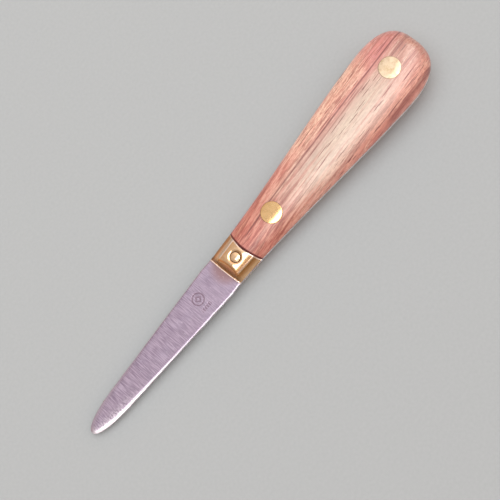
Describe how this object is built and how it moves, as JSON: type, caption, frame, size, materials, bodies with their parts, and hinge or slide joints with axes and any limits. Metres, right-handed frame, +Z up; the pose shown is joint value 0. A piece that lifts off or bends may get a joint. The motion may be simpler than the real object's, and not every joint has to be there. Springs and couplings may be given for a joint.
{
  "type": "fixed-blade leather knife",
  "caption": "Small fixed leather knife: blunt rounded steel blade, full tang, pinned brass mitre bolster and riveted rosewood scales with a swelling butt.",
  "frame": {"origin": "bottom centre of the bounding box, with the knife lying on the flat strip of its lower scale", "axes": "+X from the blade's tip towards the butt, +Y across the width towards the spine side, +Z up through the thickness; the steel is pitched about 1.9 degrees, butt high, because the handle thickens towards the butt"},
  "size_m": [0.1769, 0.0259, 0.0159],
  "materials": {
    "steel": "cross-brushed stainless steel with a polished edge",
    "brass": "hand-polished brass, a little tarnished in the hollows",
    "wood": "oiled rosewood with a satin sheen, straight grain along the grip"
  },
  "bodies": {
    "root": {"blade": "steel", "bolster_upper": "brass", "bolster_lower": "brass", "bolster_pin": "brass", "scale_upper": "wood", "scale_lower": "wood", "front_rivet_female": "brass", "front_rivet_male": "brass", "rear_rivet_female": "brass", "rear_rivet_male": "brass"}
  },
  "joints": []
}
